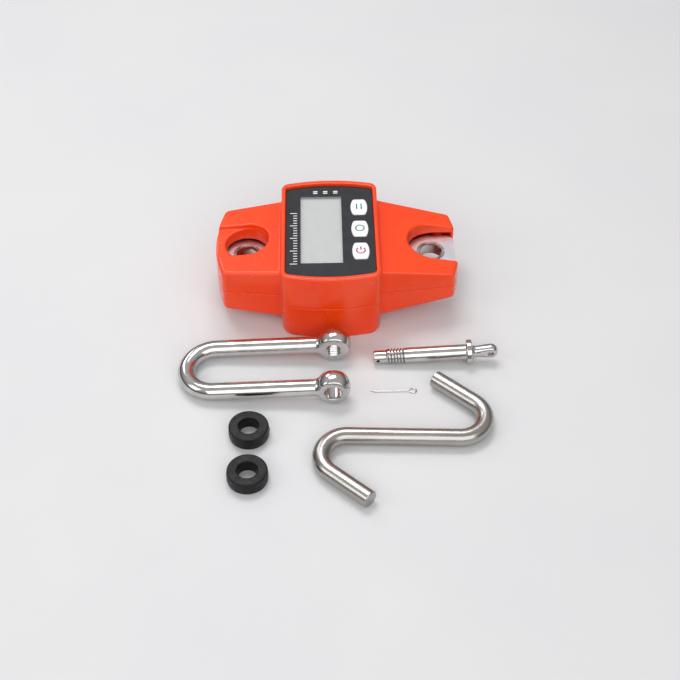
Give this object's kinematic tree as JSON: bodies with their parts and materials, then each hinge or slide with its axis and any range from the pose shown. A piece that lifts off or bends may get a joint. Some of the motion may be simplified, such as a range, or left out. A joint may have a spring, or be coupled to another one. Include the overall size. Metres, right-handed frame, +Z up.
{
  "type": "crane scale",
  "caption": "Digital crane scale in a flat two-winged case with a display and keys, laid out with its shackle, pin, cotter pin, rubber rings and S-hook.",
  "frame": {"origin": "middle of the case's back face, on the surface that the case and the kit lie on", "axes": "+X from the shackle end of the case to its hook end, +Y across the case away from the hanging kit, +Z up through the display"},
  "size_m": [0.2427, 0.2875, 0.061],
  "materials": {
    "case_plastic": "moulded, satin gloss, orange-red",
    "plated_screw": "zinc plated",
    "cell_alloy": "milled and anodised clear",
    "bush_steel": "turned",
    "gauge_foil": "foil on amber film",
    "lead_grey": "PVC",
    "lead_red": "PVC",
    "panel_black": "printed acrylic, glossy black",
    "window_clear": "clear acrylic",
    "lcd_grey": "reflective LCD, blank",
    "guide_white": "moulded light guide",
    "frame_grey": "pressed tinplate",
    "board_green": "glass fibre with solder mask",
    "chip_black": "moulded epoxy",
    "socket_cream": "moulded nylon",
    "key_white": "moulded, satin white",
    "battery_jacket": "shrink film",
    "contact_nickel": "nickel plated",
    "stainless_polished": "forged stainless steel, polished",
    "stainless_brushed": "stainless round bar, brushed",
    "rubber_black": "moulded, matt"
  },
  "bodies": {
    "case": {"front_shell": "case_plastic", "rear_shell": "case_plastic", "case_screws": "plated_screw", "load_cell": "cell_alloy", "shackle_eye_bush": "bush_steel", "hook_eye_bush": "bush_steel", "load_cell_screws": "plated_screw", "strain_gauges": "gauge_foil", "gauge_lead": "lead_grey", "display_panel": "panel_black", "display_window": "window_clear", "lcd_glass": "lcd_grey", "lcd_backlight": "guide_white", "lcd_frame": "frame_grey", "main_board": "board_green", "board_screws": "plated_screw", "board_chips": "chip_black", "board_sockets": "socket_cream", "key_switches": "chip_black", "buzzer": "chip_black", "battery_one": "battery_jacket", "battery_two": "battery_jacket", "battery_three": "battery_jacket", "battery_springs": "contact_nickel", "battery_contacts": "contact_nickel", "battery_lead": "lead_red"},
    "key_hold": {"key_hold": "key_white"},
    "key_tare": {"key_tare": "key_white"},
    "key_power": {"key_power": "key_white"},
    "battery_cover": {"battery_cover": "case_plastic"},
    "shackle": {"shackle": "stainless_polished"},
    "shackle_pin": {"shackle_pin": "stainless_polished"},
    "cotter_pin": {"cotter_pin": "stainless_polished"},
    "ring_one": {"ring_one": "rubber_black"},
    "ring_two": {"ring_two": "rubber_black"},
    "s_hook": {"s_hook": "stainless_brushed"}
  },
  "joints": [
    {"name": "hold_press", "type": "slide", "parent": "case", "child": "key_hold", "axis": [0, 0, -1], "range_m": [0, 0.0006], "stiffness_N_per_m": 300, "springref_m": -0.001},
    {"name": "tare_press", "type": "slide", "parent": "case", "child": "key_tare", "axis": [0, 0, -1], "range_m": [0, 0.0006], "stiffness_N_per_m": 300, "springref_m": -0.001},
    {"name": "power_press", "type": "slide", "parent": "case", "child": "key_power", "axis": [0, 0, -1], "range_m": [0, 0.0006], "stiffness_N_per_m": 300, "springref_m": -0.001},
    {"name": "battery_cover_slide", "type": "slide", "parent": "case", "child": "battery_cover", "axis": [-1, 0, 0], "range_m": [0, 0.07]},
    {"name": "shackle_lift", "type": "slide", "parent": "case", "child": "shackle", "axis": [0, 0, 1], "range_m": [0, 0.1]},
    {"name": "pin_lift", "type": "slide", "parent": "case", "child": "shackle_pin", "axis": [0, 0, 1], "range_m": [0, 0.1]},
    {"name": "cotter_lift", "type": "slide", "parent": "case", "child": "cotter_pin", "axis": [0, 0, 1], "range_m": [0, 0.1]},
    {"name": "ring_one_lift", "type": "slide", "parent": "case", "child": "ring_one", "axis": [0, 0, 1], "range_m": [0, 0.1]},
    {"name": "ring_two_lift", "type": "slide", "parent": "case", "child": "ring_two", "axis": [0, 0, 1], "range_m": [0, 0.1]},
    {"name": "hook_lift", "type": "slide", "parent": "case", "child": "s_hook", "axis": [0, 0, 1], "range_m": [0, 0.1]}
  ]
}
